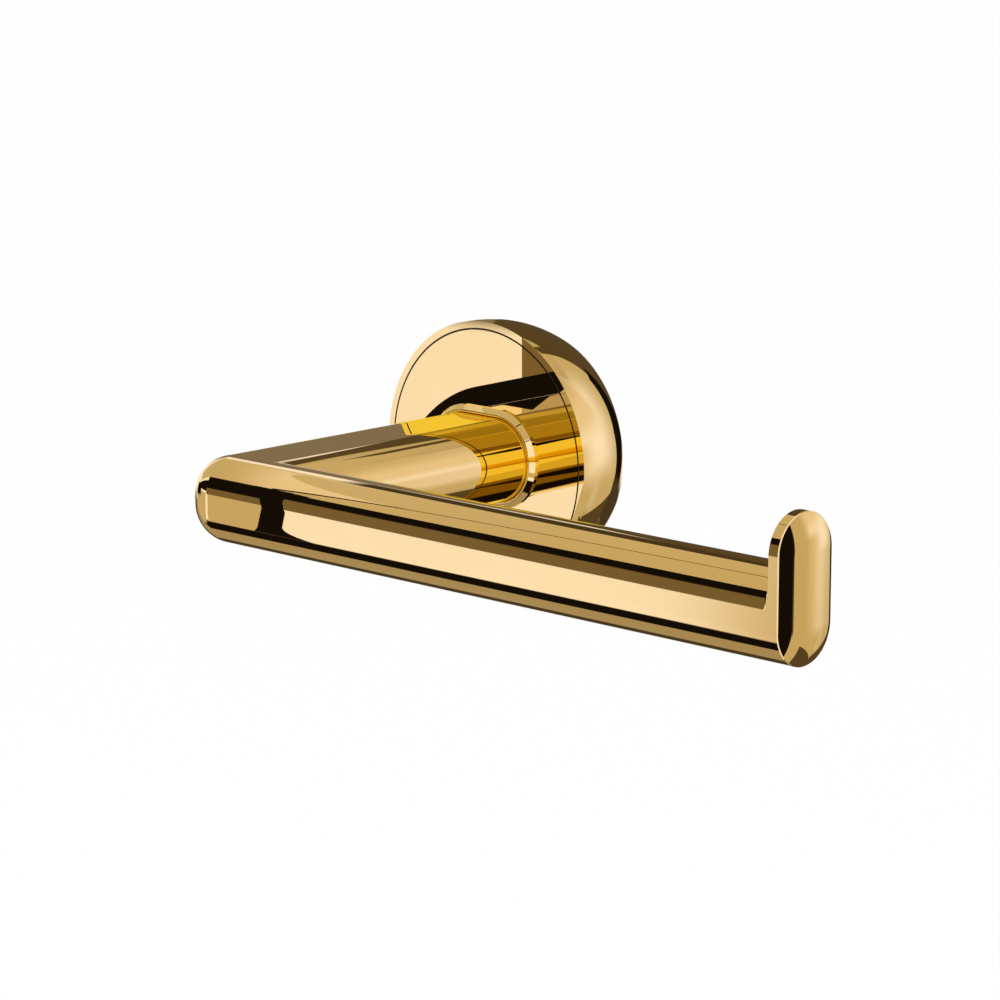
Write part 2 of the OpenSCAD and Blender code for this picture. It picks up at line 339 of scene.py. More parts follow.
def make_corner():
    """The solid corner. Level by level it is a quarter of an ellipse between the arm's front and the
    post's left side: x = -c - p sin(t), y = -a cos(t), with p and a their half widths at that height.
    The arm's back and the post's right side meet in a crease."""
    seam_x, seam_y = arm_low[0], post_low[1]
    turn = np.linspace(0, math.pi / 2, ROUND_STEPS + 1)[:, None]
    from_level = LEVEL - ARM_FLAT * RISE
    nx = -ARM_OUT ** 2 * POST_OUT * np.sin(turn)
    ny = -ARM_OUT * POST_OUT ** 2 * np.cos(turn)
    nz = POST_OUT ** 2 * from_level * np.cos(turn) ** 2 + ARM_OUT ** 2 * LEVEL * np.sin(turn) ** 2
    poles = (ARM_OUT < 1e-9) | (POST_OUT < 1e-9)
    nx, ny = np.where(poles, 0, nx), np.where(poles, 0, ny)
    nz = np.where(poles, np.sign(LEVEL), nz)
    nose = sheet(-POST_FLAT - POST_OUT * np.sin(turn), ARM_Y - ARM_OUT * np.cos(turn), LEVEL, nx, ny, nz)
    far = np.linspace(0, 1, ALONG_STEPS + 1)[:, None]
    front_x = np.concatenate([TOP_X, POST_FLAT + (seam_x - POST_FLAT) * far[1:, 0]])[:, None]
    front = sheet(front_x, ARM_Y - ARM_OUT, LEVEL, 0, -np.cos(TURN), np.sin(TURN))
    crease_x, crease_y = POST_FLAT + POST_OUT, ARM_Y + ARM_OUT
    back = sheet(crease_x + (seam_x - crease_x) * far, crease_y, LEVEL, 0, np.cos(TURN), np.sin(TURN))
    right = sheet(crease_x, crease_y + (seam_y - crease_y) * far, LEVEL, POST_OUT, 0, LEVEL)
    left_y = ARM_Y + (seam_y - ARM_Y) * far
    left = sheet(-crease_x, left_y, LEVEL, -POST_OUT, 0, LEVEL)
    flats = [sheet(TOP_X, left_y, side * HALF_H, 0, 0, side) for side in SIDES]
    inset = TUBE_WALL + FIT_GAP
    arm_spigot = slot_loop(ARM_R - inset)
    arm_end = [across(seam_x, slot_loop(ARM_R), arm_spigot, 1),
               along([seam_x, block_high[0]], arm_spigot), disc(block_high[0], arm_spigot, 1)]
    post_end = [ruled(post_loop(seam_y, POST_R), post_loop(seam_y, POST_R - inset), (0, 1, 0)),
                *post_sides([seam_y, block_high[1]], POST_R - inset),
                post_disc(block_high[1], POST_R - inset, 1)]
    return weld("corner", [nose, front, back, right, left, *flats, *arm_end, *post_end],
                ["corner_block"])


def make_post():
    """A tube of the post's slot section from the corner's seam to the foot, with one pin hole below."""
    pin_y = post_low[1] + SPIGOT_MID
    ys = np.concatenate([np.linspace(post_low[1], pin_y - PIN_WINDOW, 3)[:-1],
                         np.linspace(pin_y - PIN_WINDOW, pin_y + PIN_WINDOW, PIN_ROWS + 1),
                         np.linspace(pin_y + PIN_WINDOW, post_high[1], ALONG_STEPS + 1)[1:]])
    outer = post_sides(ys, POST_R)
    inner = post_sides(ys, POST_R - TUBE_WALL, -1)
    middle = TOP_STEPS // 2
    cols = (middle - POST_PIN_COLS, middle + POST_PIN_COLS)

    def level(height, sign):
        """Heights and normals on a level face."""
        return lambda x, y: (0 * x + height, (0 * x, 0 * x, 0 * x - sign))

    low_outer, low_inner, extra = hole(
        outer[2], inner[2], (2, 2 + PIN_ROWS), (cols, cols), np.array([0, pin_y]), PIN_HOLE,
        (level(-POST_R, 1), level(TUBE_WALL - POST_R, -1)))
    ends = [ruled(post_loop(y, POST_R), post_loop(y, POST_R - TUBE_WALL), (0, facing, 0))
            for y, facing in ((ys[0], -1), (ys[-1], 1))]
    sheets = outer[:2] + [low_outer, outer[3]] + inner[:2] + [low_inner, inner[3]]
    return weld("post", sheets + ends + extra, ["post_tube"])


def make_stop():
    """The end stop. Its slot outline stands up past the arm; its outer face is a crown, a cylinder with
    half-ball ends: x falls off as sqrt(R^2 - d^2) with the distance d from the upright ridge. A narrow
    bevel breaks the edge between them."""
    top, bottom = stop_high[2], -HALF_H
    middle, flat = (top + bottom) / 2, (top - bottom) / 2 - ARM_R
    outline = slot_loop(ARM_R, flat, (ARM_Y, middle))
    rim_x, ridge_x = arm_high[0] + STOP_T, stop_high[0]
    crown = ridge_x - rim_x
    crown_r = (ARM_R ** 2 + crown ** 2) / (2 * crown)
    share = np.linspace(1, 0, CROWN_STEPS + 1)[:, None]
    away = (ARM_R - EDGE) * share
    y, z, ny, nz = outline
    rise = np.sqrt(crown_r ** 2 - away ** 2)
    dome = sheet(ridge_x - crown_r + rise, y - (ARM_R - away) * ny, z - (ARM_R - away) * nz,
                 rise, away * ny, away * nz)
    inset = np.array([0, EDGE])[:, None]
    bevel_x = np.array([rim_x - EDGE, dome[0][0, 0, 0]])[:, None]
    bevel = sheet(bevel_x, y - inset * ny, z - inset * nz, 1, ny, nz)
    spigot = slot_loop(ARM_R - TUBE_WALL - FIT_GAP)
    sheets = [dome, bevel, along([arm_high[0], rim_x - EDGE], outline),
              across(arm_high[0], outline, spigot, -1),
              along([arm_high[0], stop_low[0]], spigot), disc(stop_low[0], spigot, -1)]
    return weld("stop", sheets, ["end_stop"])


def make_ring():
    """The bead round the post's foot: a section with a round brow and a flat that slopes down outwards at
    45 degrees, carried round the post's outline."""
    inner = ring_high[0] - POST_FLAT - BEAD_W
    outer = inner + BEAD_W
    slope = math.pi / 4
    brow = np.linspace(math.pi, slope, ROUND_STEPS + 1)
    arc = inner + BROW_R * (1 + np.cos(brow)), BEAD_H - BROW_R * (1 - np.sin(brow))
    foot = arc[1][-1] - (outer - arc[0][-1])
    parts = [  # width from the post's centre line, height from the face, and their normals
        (np.array([inner, inner]), np.array([0, BEAD_H - BROW_R]), -1, 0),
        (*arc, np.cos(brow), np.sin(brow)),
        (np.array([arc[0][-1], outer]), np.array([arc[1][-1], foot]), math.cos(slope), math.sin(slope)),
        (np.array([outer, outer]), np.array([foot, 0]), 1, 0),
        (np.array([outer, inner]), np.array([0, 0]), 0, -1),
    ]
    end = np.linspace(math.pi / 2, -math.pi / 2, 2 * ROUND_STEPS + 1)[:, None]
    sheets = []
    for wide, high, n_wide, n_high in parts:
        y = -FACE_Y - high
        for side in SIDES:
            sheets.append(sheet(side * (POST_FLAT + wide * np.cos(end)), y, wide * np.sin(end),
                                side * n_wide * np.cos(end), -n_high, n_wide * np.sin(end)))
            sheets.append(sheet(TOP_X[:, None], y, side * wide, 0, -n_high, side * n_wide))
    return weld("bead", sheets, ["base_ring"])


def turned(radius, far, n_radius, n_far):
    """A profile turned about the rosette's axis: radius from the axis and distance from the wall,
    with the normals in the same two directions. Rows go round, starting at the top."""
    round_ = np.linspace(0, 2 * math.pi, TURN_STEPS + 1)[:, None]
    return sheet(radius * np.sin(round_), -np.asarray(far), radius * np.cos(round_),
                 n_radius * np.sin(round_), -np.asarray(n_far), n_radius * np.cos(round_))


def ball_arc(radius, start, end, steps):
    """The part of a ball's profile between two distances from the wall: R cos(t) from the axis and
    the ball's middle + R sin(t) from the wall."""
    ends = [math.asin((far - BALL_MID) / radius) for far in (start, end)]
    lean = np.linspace(*ends, steps + 1)
    return radius * np.cos(lean), BALL_MID + radius * np.sin(lean), np.cos(lean), np.sin(lean)


def make_shell():
    """The rosette's shell: a slice of a ball outside and inside, with the seat of the inset face in front,
    a lip for the hub's flange, a groove for the wall seal, and the key's hole through its underside."""
    inner_r = BALL_R - SHELL_WALL
    outer_arc = ball_arc(BALL_R, 0, FACE_Y, BALL_STEPS)
    inner_arc = ball_arc(inner_r, SEAL_T, LIP_BACK, HOLLOW_STEPS)
    outer = turned(*outer_arc)
    radius, far, n_radius, n_far = inner_arc
    inner = turned(radius, far, -n_radius, -n_far)

    def under(size, sign):
        """Heights and normals on the underside of a ball of that radius."""
        def lift(x, y):
            away = -y - BALL_MID
            down = np.sqrt(size ** 2 - x ** 2 - away ** 2)
            return -down, (sign * x / size, -sign * away / size, -sign * down / size)
        return lift

    rows = (TURN_STEPS // 2 - KEY_ROWS, TURN_STEPS // 2 + KEY_ROWS)
    window = [[int(np.argmin(np.abs(arc[1] - (KEY_Y + side * KEY_WINDOW)))) for side in SIDES]
              for arc in (outer_arc, inner_arc)]
    count = min(last - start for start, last in window)
    cols = [(start, start + count) for start, _ in window]
    outer, inner, key_hole = hole(outer, inner, rows, cols, np.array([0, -KEY_Y]), KEY_HOLE,
                                  (under(BALL_R, 1), under(inner_r, -1)))
    flats = [  # radius, distance from the wall and their normals, from the front edge inwards
        ((outer_arc[0][-1], RIM_R + SEAM_W), (FACE_Y, FACE_Y), 0, 1),
        ((RIM_R + SEAM_W, RIM_R + SEAM_W), (FACE_Y, SEAT_Y), -1, 0),
        ((RIM_R + SEAM_W, LIP_R), (SEAT_Y, SEAT_Y), 0, 1),
        ((LIP_R, LIP_R), (SEAT_Y, LIP_BACK), -1, 0),
        ((LIP_R, inner_arc[0][-1]), (LIP_BACK, LIP_BACK), 0, -1),
        ((inner_arc[0][0], SEAL_R), (SEAL_T, SEAL_T), 0, -1),
        ((SEAL_R, SEAL_R), (SEAL_T, 0), -1, 0),
        ((SEAL_R, outer_arc[0][0]), (0, 0), 0, -1),
    ]
    bands = [turned(np.array(r), np.array(h), nr, nh) for r, h, nr, nh in flats]
    return weld("rosette", [outer, inner, *bands, *key_hole], ["rosette_shell"])


def make_seam_shade_ring():
    """A ring in the joint between the inset face and the shell, in the black rubber finish: painted shade
    that stands for the shadow in the narrow gap. It is a narrow upright rectangle turned about the
    rosette's axis."""
    outer, top = RIM_R + SEAM_W, FACE_Y - SEAM_LOW
    sides = [  # radius, distance from the wall and their normals
        ((outer, RIM_R), (top, top), 0, 1),
        ((RIM_R, RIM_R), (top, SEAT_Y), -1, 0),
        ((RIM_R, outer), (SEAT_Y, SEAT_Y), 0, -1),
        ((outer, outer), (SEAT_Y, top), 1, 0),
    ]
    bands = [turned(np.array(r), np.array(h), nr, nh) for r, h, nr, nh in sides]
    return weld("seam_shade_ring", bands, [])


# ---- finishes


def linear(code):
    """A hex sRGB colour as linear RGBA."""
    channels = [int(code[i:i + 2], 16) / 255 for i in (1, 3, 5)]
    return [c / 12.92 if c <= 0.04045 else ((c + 0.055) / 1.055) ** 2.4 for c in channels] + [1]


def add(tree, kind, links=(), **settings):
    """Adds one node. Settings are its own properties or, by name or number, its inputs' values; links are
    (input, output socket) pairs."""
    node = tree.nodes.new(kind)
    for key, value in settings.items():
        if hasattr(node, key):
            setattr(node, key, value)
        else:
            node.inputs[key.replace("_", " ")].default_value = value
    for socket, source in links:
        tree.links.new(source, node.inputs[socket])
    return node


def new_material(name):
    """An empty node material and its tree."""
    material = bpy.data.materials.new(name)
    material.use_nodes = True
    material.node_tree.nodes.clear()
    return material, material.node_tree


def object_noise(tree, period, detail=2.0, stretch=(1, 1, 1)):
    """Soft noise in the object's own axes, one bump to each period in metres. Stretch above 1 draws it
    out along that axis, as a turning or drawing mark is."""
    place = add(tree, "ShaderNodeTexCoord")
    scaled = add(tree, "ShaderNodeMapping", [("Vector", place.outputs["Object"])],
                 Scale=[1 / (period * s) for s in stretch])
    return add(tree, "ShaderNodeTexNoise", [("Vector", scaled.outputs[0])], Scale=1.0, Detail=detail)


def between(tree, source, low, high):
    """Maps noise, which keeps mostly to the middle third of its range, to a range of values."""
    return add(tree, "ShaderNodeMapRange", [("Value", source)],
               From_Min=0.3, From_Max=0.7, To_Min=low, To_Max=high).outputs[0]


def two_tone(tree, source, first, second):
    """Runs from one colour to another with the noise."""
    ramp = add(tree, "ShaderNodeValToRGB", [("Fac", source)])
    for stop, place, code in zip(ramp.color_ramp.elements, (0.3, 0.7), (first, second)):
        stop.position = place
        stop.color = linear(code)
    return ramp.outputs[0]


def polished_gold():
    """Brass buffed to a mirror, then coated gold in a vacuum. The coat's tone drifts by a hair over a few
    centimetres, and the buffing leaves a haze that comes and goes over some millimetres, and a faint
    waviness that only a long straight reflection shows. Where gold is seen by way of another mirror, its
    base colour switches to a deeper yellow: a painted reflection tone, deeper than real gold gives."""
    material, tree = new_material("mirror_polished_gold_coat")
    drift = object_noise(tree, 35 * MM)
    haze = object_noise(tree, 6 * MM, detail=4.0)
    wave = object_noise(tree, 9 * MM, detail=1.0)
    bump = add(tree, "ShaderNodeBump", [("Height", wave.outputs[0])], Strength=0.05, Distance=0.02 * MM)
    path = add(tree, "ShaderNodeLightPath")
    # Glossy rays get a deeper yellow base colour: a painted reflection tone for gold seen in gold.
    tone = add(tree, "ShaderNodeMix", [  # its inputs 6 and 7 are the two colours
        ("Factor", path.outputs["Is Glossy Ray"]),
        (6, two_tone(tree, drift.outputs[0], "#FCDCA6", "#FEE0AE")),
    ], data_type="RGBA")
    tone.inputs[7].default_value = linear("#F6D440")
    shader = add(tree, "ShaderNodeBsdfPrincipled", [
        ("Base Color", tone.outputs[2]),
        ("Roughness", between(tree, haze.outputs[0], 0.004, 0.014)),
        ("Normal", bump.outputs[0]),
    ], Metallic=1.0)
    add(tree, "ShaderNodeOutputMaterial", [("Surface", shader.outputs[0])])
    return material


def turned_metal(name, dark, light, low, high, pitch):
    """Bare turned metal: two near tones, and roughness in fine rings across the axis that the tool turned
    about. The rings are drawn about three times as coarse as the real feed, so that they show."""
    material, tree = new_material(name)
    tone = object_noise(tree, 3 * MM, detail=3.0)
    rings = object_noise(tree, pitch, detail=2.0, stretch=(40, 1, 40))
    bump = add(tree, "ShaderNodeBump", [("Height", rings.outputs[0])], Strength=0.3, Distance=0.01 * MM)
    shader = add(tree, "ShaderNodeBsdfPrincipled", [
        ("Base Color", two_tone(tree, tone.outputs[0], dark, light)),
        ("Roughness", between(tree, rings.outputs[0], low, high)),
        ("Normal", bump.outputs[0]),
    ], Metallic=1.0)
    add(tree, "ShaderNodeOutputMaterial", [("Surface", shader.outputs[0])])
    return material


def turned_brass():
    """Bare yellow brass off the lathe, a little dulled in the air."""
    return turned_metal("turned_bare_brass", "#B8934C", "#D2AE66", 0.22, 0.38, 0.3 * MM)


def turned_steel():
    """Stainless screws, pins and washers: grey, with a fine machined sheen."""
    return turned_metal("machined_stainless_steel", "#AEB0B3", "#C9CBCD", 0.24, 0.36, 0.25 * MM)


def moulded(name, dark, light, low, high, grain, ior):
    """A moulded plastic or rubber: one colour with a little mottle, and the mould's fine even texture."""
    material, tree = new_material(name)
    mottle = object_noise(tree, 8 * MM, detail=3.0)
    texture = object_noise(tree, grain, detail=2.0)
    bump = add(tree, "ShaderNodeBump", [("Height", texture.outputs[0])], Strength=0.4, Distance=0.02 * MM)
    shader = add(tree, "ShaderNodeBsdfPrincipled", [
        ("Base Color", two_tone(tree, mottle.outputs[0], dark, light)),
        ("Roughness", between(tree, texture.outputs[0], low, high)),
        ("Normal", bump.outputs[0]),
    ], IOR=ior)
    add(tree, "ShaderNodeOutputMaterial", [("Surface", shader.outputs[0])])
    return material


def black_rubber():
    """Moulded synthetic rubber: near black and matt, greyer where the mould's skin is dusty."""
    return moulded("moulded_black_rubber", "#17120E", "#251E18", 0.62, 0.8, 0.25 * MM, 1.52)


def natural_nylon():
    """Natural nylon: a warm milky white with a soft sheen."""
    return moulded("moulded_natural_nylon", "#DDDACB", "#E9E7DB", 0.38, 0.5, 0.3 * MM, 1.53)


# ---- the object

FINISHES = {
    "polished_gold": polished_gold(),
    "raw_brass": turned_brass(),
    "stainless_steel": turned_steel(),
    "seal_rubber": black_rubber(),
    "nylon": natural_nylon(),
}
for make in (make_arm, make_corner, make_post, make_stop, make_ring, make_shell):
    make().data.materials.append(FINISHES["polished_gold"])
# The seam's dark ring is painted shade for the narrow gap; it takes the black rubber finish.
make_seam_shade_ring().data.materials.append(FINISHES["seal_rubber"])
for part in frame["record"]["subparts"]:
    frame["nodes"][part["node"]].data.materials[0] = FINISHES[part["material_slot"]]

# ---- camera

CAMERA = Vector((0.5550, -0.5901, 0.1560))
AZIMUTH, DOWN = math.radians(43.79), math.radians(11.72)   # to the right of straight on, and its tilt
SENSOR, LENS = 36, 137.2                  # millimetres

camera = linked("camera", bpy.data.cameras.new("camera"))
camera.location = CAMERA
camera.rotation_euler = (math.pi / 2 - DOWN, 0, AZIMUTH)
camera.data.sensor_width = SENSOR
camera.data.lens = LENS
bpy.context.scene.camera = camera

# ---- studio

TENT_R = 0.55                             # the boards stand on a ball this large about the holder
TENT_MID = np.array([0.06, -0.06, 0.0])   # near the middle of the holder
BOARD_STEP = 0.5 * MM                     # each board hangs this far inside the one before it
BOARD_CELLS = 64                          # cells along a board's side
SLOPE_FOOT = -60                          # degrees of height at which the sloping boards start
FLOOR_DROP = 0.66                         # a paper holder's usual height over a floor


def around_x(turn, off):
    """Directions by turn about the arm's axis, from the front upwards, and angle from -x, in degrees."""
    turn, off = np.radians(turn), np.radians(off)
    return np.stack([-np.cos(off), -np.cos(turn) * np.sin(off), np.sin(turn) * np.sin(off)], axis=-1)


def around_z(bearing, height):
    """Directions by bearing, from the front towards -x, and height above the horizon, in degrees."""
    bearing, height = np.broadcast_arrays(np.radians(bearing), np.radians(height))
    flat = np.cos(height)
    return np.stack([-np.sin(bearing) * flat, -np.cos(bearing) * flat, np.sin(height)], axis=-1)


def eased(share):
    """A soft step from 0 to 1."""
    share = np.clip(share, 0, 1)
    return share * share * (3 - 2 * share)


def faded(angles, soft):
    """Cover along one side of a board: from 0 at its edges to 1 over the soft angle at each end."""
    cover = np.ones(len(angles))
    for away, width in ((angles - angles[0], soft[0]), (angles[-1] - angles, soft[1])):
        if width:
            cover *= eased(away / width)
    return cover


boards = []


def board(name, tone, about, across, up, soft_across=(0, 0), soft_up=(0, 0)):
    """One studio board, seen only in reflections: a patch of the tent between two pairs of angles, with
    edges that may fade."""
    first, second = np.linspace(*across, BOARD_CELLS + 1), np.linspace(*up, BOARD_CELLS + 1)
    cover = faded(first, soft_across)[:, None] * faded(second, soft_up)
    hang_on_tent(name, tone, about(*np.meshgrid(first, second, indexing="ij")), cover)


def hang_on_tent(name, tone, directions, cover=1.0):
    """Hangs a board on the tent, a little inside all earlier ones."""
    hang(name, tone, TENT_MID + (TENT_R - BOARD_STEP * len(boards)) * directions, cover)


def hang(name, tone, points, cover=1.0):
    """Makes the board's grid of points a mesh that only glossy rays see."""
    cover = np.broadcast_to(cover, points.shape[:2]).ravel()
    rows, cols = points.shape[:2]
    ids = np.arange(rows * cols).reshape(rows, cols)
    cells = np.stack([ids[:-1, :-1], ids[1:, :-1], ids[1:, 1:], ids[:-1, 1:]], axis=-1).reshape(-1, 4)
    mesh = bpy.data.meshes.new(name)
    mesh.from_pydata(points.reshape(-1, 3), [], cells.tolist())
    mesh.attributes.new("cover", "FLOAT", "POINT").data.foreach_set("value", cover)
    mesh.materials.append(tone)
    piece = linked(name, mesh)
    for ray in ("camera", "diffuse", "transmission", "volume_scatter", "shadow"):
        setattr(piece, "visible_" + ray, False)
    boards.append(piece)


def hang_slope(name, tone, bearings, heights):
    """A board from low down up to an edge that runs straight from one height to another."""
    bearing = np.linspace(*bearings, BOARD_CELLS + 1)[:, None]
    edge = np.linspace(*heights, BOARD_CELLS + 1)[:, None]
    height = SLOPE_FOOT + (edge - SLOPE_FOOT) * np.linspace(0, 1, BOARD_CELLS + 1)
    hang_on_tent(name, tone, around_z(bearing, height))


def hang_leaning(name, tone, heights, lefts, rights):
    """A board between two heights, whose left and right edges run straight from one bearing to another."""
    share = np.linspace(0, 1, BOARD_CELLS + 1)
    left, right = np.linspace(*lefts, BOARD_CELLS + 1), np.linspace(*rights, BOARD_CELLS + 1)
    bearing = left + (right - left) * share[:, None]
    hang_on_tent(name, tone, around_z(bearing, np.linspace(*heights, BOARD_CELLS + 1)))


def board_tone(name, code, deep_share=0.6, first_share=1.0, back_share=1.0):
    """A studio board's even tone, clear where its cover is 0. first_share of it is seen by way of one
    mirror and deep_share by way of two, as if the boards stood in a brighter room, and back_share from
    behind."""
    material, tree = new_material(name)
    cover = add(tree, "ShaderNodeAttribute", attribute_name="cover")
    path = add(tree, "ShaderNodeLightPath")
    share = add(tree, "ShaderNodeMapRange", [("Value", path.outputs["Glossy Depth"])],
                From_Min=1.0, From_Max=2.0, To_Min=first_share, To_Max=deep_share)
    both = add(tree, "ShaderNodeMath", [(0, cover.outputs["Fac"]), (1, share.outputs[0])],
               operation="MULTIPLY")
    side = add(tree, "ShaderNodeMapRange",
               [("Value", add(tree, "ShaderNodeNewGeometry").outputs["Backfacing"])],
               To_Min=1.0, To_Max=back_share)
    both = add(tree, "ShaderNodeMath", [(0, both.outputs[0]), (1, side.outputs[0])],
               operation="MULTIPLY")
    shader = add(tree, "ShaderNodeMixShader", [
        (0, both.outputs[0]),
        (1, add(tree, "ShaderNodeBsdfTransparent").outputs[0]),
        (2, add(tree, "ShaderNodeEmission", Color=linear(code)).outputs[0]),
    ])
    add(tree, "ShaderNodeOutputMaterial", [("Surface", shader.outputs[0])])
    return material


black = board_tone("black_flag", "#15110C")
near_black = board_tone("near_black_flag", "#15110C", deep_share=0.0)
deep = board_tone("deep_brown_board", "#473D29")
brown = board_tone("brown_board", "#776846")
grey = board_tone("grey_board", "#81755F")
straw = board_tone("straw_board", "#A89B78")
sand = board_tone("sand_board", "#C9BC91")
cream = board_tone("cream_board", "#DBCDA9")
ivory = board_tone("ivory_board", "#EBDFC2")
bark = board_tone("bark_board", "#574A32")
inner_flag = board_tone("inner_flag", "#15110C", deep_share=1.0, first_share=0.0)
inner_umber = board_tone("inner_umber_board", "#80693A", deep_share=1.0, first_share=0.0)
face_black = board_tone("face_black_flag", "#15110C", deep_share=0.0, back_share=0.0)
face_umber = board_tone("face_brown_board", "#7B6A42", back_share=0.0)
face_sand = board_tone("face_sand_board", "#C9BC91", back_share=0.0)

# Bands that run along the arm, from below the back round the front to above the back.
board("front_low_rear", deep, around_x, (-150, -103), (10, 120), (8, 8))
board("front_low_straw", straw, around_x, (-114, -60), (10, 120), (7, 0))
board("front_low_flag", black, around_x, (-70, -42), (30, 120), (2, 3))
board("front_fall", sand, around_x, (-46, -8), (55.5, 130), (1, 1), (7, 0))
board("front_brown", brown, around_x, (-10, 32), (42.8, 120), (2, 0))
board("front_flag", black, around_x, (19, 43), (42.6, 120), (4, 3))
board("top_sand", sand, around_x, (41, 126), (10, 120), (3, 4))
board("top_cream", cream, around_x, (76, 126), (41, 120), (12, 4), (2, 0))
board("top_deep", deep, around_x, (116, 144), (41.8, 100), (2, 6), (0.6, 0))
# What the rounded corner looks at.
board("end_flag", near_black, around_x, (-2, 34), (3, 38), (1, 3))
board("end_sand", sand, around_x, (-60, -9), (3, 34.5), (5, 1))
board("end_flag_low", near_black, around_z, (71, 90), (-10, 3), (2, 1), (2, 0))
board("nose_brown", brown, around_x, (-10, 14), (36, 42.9), (1, 0))
board("nose_flag", near_black, around_x, (8, 44), (36, 42.9), (2, 2))
# To the right and behind.
board("right_cream", cream, around_z, (206, 262), (-36, 12), (27, 0), (2, 10))
board("right_ivory", ivory, around_z, (192, 244), (5, 53), (10, 8), (16, 6))
board("right_sand", sand, around_z, (229, 262), (-55, 38), (15, 0), (6, 6))
board("right_flag", black, around_z, (259.5, 281), (-55, 36), (1, 1), (3, 3))
board("rear_fall", sand, around_z, (168, 204), (-32, 44), (0, 32), (1, 4))
board("rear_low_sand", sand, around_z, (176, 226), (-60, -2), (1, 30), (0, 16))
board("rear_low_bark", bark, around_z, (146, 180), (-60, -27), (2, 0), (0, 1))
board("right_low_sand", sand, around_z, (204, 262), (-60, -8), (8, 0), (0, 16))
hang_slope("rear_slope_bark", bark, (178, 206), (-18, -35))
hang_slope("stop_slope_bark", bark, (205, 244), (-37, -28))
board("rear_top_sand", sand, around_z, (144, 225), (24, 62), (2, 5), (24, 3))
board("rear_grey", grey, around_z, (108, 136.5), (3, 26), (10, 0), (1, 2))
board("rear_bark", bark, around_z, (135.2, 169.5), (-8, 41), (0.3, 0.5), (3, 0.5))
board("rear_bark_left", bark, around_z, (135.2, 148), (40, 60), (0.3, 2), (0, 1))
board("rear_bark_right", bark, around_z, (161, 169.5), (40, 47), (0.5, 0.5), (0, 1))
board("rear_flag", black, around_z, (165, 179), (-28, 0.1), (0.5, 0.5), (2, 0))
hang_leaning("rear_flag_high", black, (0, 19), (165, 165), (179, 172.5))
board("rear_flag_low", deep, around_z, (150, 180), (-28, -12), (2, 0.5), (1, 4))
# What polished metal shows of the studio by way of other polished metal.
board("inner_high_umber", inner_umber, around_x, (28, 54), (84, 122), (5, 3), (4, 3))
board("inner_low_umber", inner_umber, around_x, (-60, -33), (84, 121), (4, 4), (4, 3))
board("inner_high_flag", inner_flag, around_x, (42, 52), (58, 86), (1, 2), (1, 3))
board("inner_mid_flag", inner_flag, around_x, (29, 34.5), (120, 127), (0.5, 0.5), (1, 1))
board("inner_low_flag", inner_flag, around_x, (-44.5, -38), (100, 114), (0.5, 0.5), (1, 1))
board("inner_end_flag", inner_flag, around_x, (-54, -43), (56, 90), (1, 1), (1, 3))

# Near the arm: a hoop about its axis that draws the upright bar beside the corner, a thin rib that leaves
# the hoop's top and bends away along the arm, and the boards on both sides of them. Turns are degrees
# about the arm's axis, from the front upwards.
ARM_MID = np.array([0, ARM_Y, 0])
HOOP_R = 0.1426                           # from the arm's axis
HOOP_X, HOOP_HALF = -0.1262, 4.2 * MM     # the hoop's middle, and half its width there
HOOP_END = 46                             # the turn of its two ends, below and above
HOOP_FLARE = (2 * MM, 12 * MM)            # how far it widens there, to the left and to the right
HOOP_TOP = 47                             # the turn at which the rib leaves the hoop
RIB_RISE, RIB_LENGTH = 37, 0.060          # how far it climbs, and over what length
RIB_WIDTH = (-2.2, 1.6)                   # its lower and upper edge about its middle line
RIB_END = 0.1                             # the x at which rib and sand boards stop
RIB_FOOT = 42                             # the turn of the foot of the sand board under it
LENS_X, LENS_LENGTH = -0.1218, 0.012      # where the upper sand board starts and how fast it widens
LENS_LOW, LENS_DROP, LENS_TOP = 66, 30, 118   # its edge at last, how far above that it starts, and its top
LENS_COVER = 0.9                          # how opaque it is
NOSE_X, NOSE_TURN = (-0.150, -0.03), (45, 120)          # the ivory board's ends and its foot and top
NOSE_IN, NOSE_OUT, NOSE_RISE = (-0.148, 0.026), (-0.115, 0.085), 3   # its fades: start and width, in x
LOW_X, LOW_TURN = (-0.1535, HOOP_X), (-46, -9)          # those of the sand board left of the hoop


def hoop_point(x, turn, depth=0):
    """A point on the hoop's cylinder by x and turn, or some steps outside it."""
    x, turn = np.broadcast_arrays(x, np.radians(turn))
    radius = HOOP_R + depth * BOARD_STEP
    return ARM_MID + np.stack([x, -radius * np.cos(turn), radius * np.sin(turn)], axis=-1)


def rib_turn(x):
    """The rib's turn at x: it climbs as 1 - exp(-x / length)."""
    return HOOP_TOP + RIB_RISE * (1 - np.exp((HOOP_X - x) / RIB_LENGTH))


def hang_hoop():
    """The hoop: upright in the middle and flared towards both ends, more on the side of the arm."""
    turn = np.linspace(-HOOP_END, HOOP_END, BOARD_CELLS + 1)[:, None]
    x = HOOP_X + np.array(SIDES) * (HOOP_HALF + np.array(HOOP_FLARE) * (turn / HOOP_END) ** 4)
    hang("hoop", near_black, hoop_point(x, turn))


